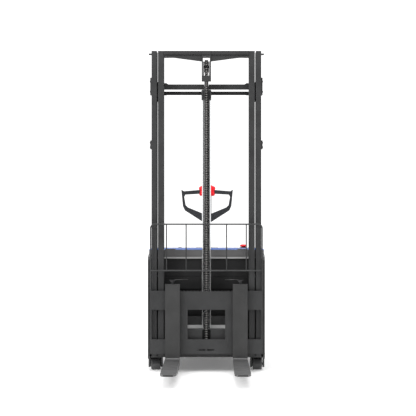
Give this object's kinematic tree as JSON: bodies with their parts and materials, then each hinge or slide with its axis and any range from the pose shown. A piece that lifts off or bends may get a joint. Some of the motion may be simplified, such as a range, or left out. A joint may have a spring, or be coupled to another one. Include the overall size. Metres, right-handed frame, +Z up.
{
  "type": "pedestrian counterbalanced narrow aisle stacker",
  "caption": "Pedestrian stacker with a two-stage mast, hook-on forks, wire load backrest, hinged battery lid and a tilting steering tiller.",
  "frame": {"origin": "on the floor, under the middle of the machine's length and width, forks and body together", "axes": "+Z up, the forks point to -Y, +X to the right as seen from in front of the forks"},
  "size_m": [0.8, 2.69, 2.19],
  "materials": {
    "frame_paint": "satin dark grey paint",
    "fork_paint": "satin dark grey paint, worn on top",
    "cover_plastic": "moulded, finely grained",
    "cowl_paint": "satin mid grey paint",
    "lid_blue": "satin blue paint",
    "cylinder_bright": "ground and honed",
    "chrome_rod": "hard chrome",
    "chain_steel": "oiled dark steel",
    "bearing_steel": "ground steel",
    "wheel_tread": "dark polyurethane",
    "wheel_hub": "cast, machined faces",
    "zinc": "zinc plated",
    "battery_case": "plain case",
    "cast_weight": "rough casting",
    "motor_black": "semi gloss black",
    "handle_plastic": "fine grained",
    "button_red": "gloss red",
    "display_black": "blank screen"
  },
  "bodies": {
    "root": {"chassis_frame": "frame_paint", "front_cowl": "cowl_paint", "mast_base": "frame_paint", "battery": "battery_case", "counterweight": "cast_weight", "pump_unit": "motor_black", "console": "cover_plastic", "rear_cover": "cover_plastic", "deck_bridge": "frame_paint", "emergency_stop": "button_red", "key_and_display": "display_black", "outer_upright_left": "frame_paint", "outer_upright_right": "frame_paint", "outer_beams": "frame_paint", "mast_side_pads": "frame_paint", "lift_barrel": "cylinder_bright", "cylinder_gland": "motor_black", "lift_pipe": "motor_black", "chain_rear": "chain_steel"},
    "lid": {"battery_lid": "cowl_paint", "lid_panel": "lid_blue"},
    "inner_mast": {"inner_upright_left": "frame_paint", "inner_upright_right": "frame_paint", "inner_top_beam": "frame_paint", "inner_rear_beams": "frame_paint", "inner_rollers": "bearing_steel", "piston_rod": "chrome_rod", "pulley_carrier": "motor_black", "chain_front": "chain_steel", "chain_over_pulley": "chain_steel"},
    "pulley": {"chain_pulley": "bearing_steel"},
    "carriage": {"carriage_frame": "frame_paint", "carriage_rollers": "bearing_steel", "chain_anchor": "frame_paint", "fork_left": "fork_paint", "fork_right": "fork_paint", "fork_latches": "zinc", "backrest": "frame_paint"},
    "load_wheel_left": {"load_wheel_left": "wheel_tread"},
    "load_wheel_right": {"load_wheel_right": "wheel_tread"},
    "drive_wheel": {"drive_tyre": "wheel_tread", "drive_hub": "wheel_hub"},
    "turret": {"turret_frame": "frame_paint", "steering_neck": "motor_black", "drive_motor": "motor_black"},
    "caster_left": {"caster_fork_left": "zinc"},
    "caster_right": {"caster_fork_right": "zinc"},
    "caster_wheel_left": {"caster_wheel_left": "wheel_tread"},
    "caster_wheel_right": {"caster_wheel_right": "wheel_tread"},
    "tiller": {"tiller_arm": "handle_plastic", "tiller_head": "handle_plastic", "tiller_buttons": "button_red"}
  },
  "joints": [
    {"name": "mast_lift", "type": "slide", "parent": "root", "child": "inner_mast", "axis": [0, 0, 1], "range_m": [0, 1.455]},
    {"name": "carriage_lift", "type": "slide", "parent": "inner_mast", "child": "carriage", "axis": [0, 0, 1], "range_m": [0, 1.455], "deforming": ["chain_front"]},
    {"name": "pulley_spin", "type": "hinge", "parent": "inner_mast", "child": "pulley", "pos_m": [0, -0.073, 2.084], "axis": [1, 0, 0], "continuous": true},
    {"name": "lid_hinge", "type": "hinge", "parent": "root", "child": "lid", "pos_m": [0, 0.0345, 0.831], "axis": [1, 0, 0], "range_deg": [0, 75]},
    {"name": "steer", "type": "hinge", "parent": "root", "child": "turret", "pos_m": [0, 1.145, 0.262], "axis": [0, 0, 1], "range_deg": [-90, 90]},
    {"name": "drive_wheel_spin", "type": "hinge", "parent": "turret", "child": "drive_wheel", "pos_m": [0, 1.145, 0.115], "axis": [1, 0, 0], "continuous": true},
    {"name": "tiller_tilt", "type": "hinge", "parent": "turret", "child": "tiller", "pos_m": [0, 1.145, 0.7], "axis": [-1, 0, 0], "range_deg": [0, 80], "stiffness_Nm_per_rad": 18, "springref_deg": -51.57},
    {"name": "load_wheel_left_spin", "type": "hinge", "parent": "root", "child": "load_wheel_left", "pos_m": [-0.351, 0.03, 0.04], "axis": [1, 0, 0], "continuous": true},
    {"name": "load_wheel_right_spin", "type": "hinge", "parent": "root", "child": "load_wheel_right", "pos_m": [0.351, 0.03, 0.04], "axis": [1, 0, 0], "continuous": true},
    {"name": "caster_left_swivel", "type": "hinge", "parent": "root", "child": "caster_left", "pos_m": [-0.3, 1.02, 0.172], "axis": [0, 0, 1], "continuous": true},
    {"name": "caster_left_spin", "type": "hinge", "parent": "caster_left", "child": "caster_wheel_left", "pos_m": [-0.3, 1.054, 0.062], "axis": [1, 0, 0], "continuous": true},
    {"name": "caster_right_swivel", "type": "hinge", "parent": "root", "child": "caster_right", "pos_m": [0.3, 1.02, 0.172], "axis": [0, 0, 1], "continuous": true},
    {"name": "caster_right_spin", "type": "hinge", "parent": "caster_right", "child": "caster_wheel_right", "pos_m": [0.3, 1.054, 0.062], "axis": [1, 0, 0], "continuous": true}
  ],
  "couplings": [
    {"joint": "carriage_lift", "follows": "mast_lift", "ratio": 1}
  ]
}
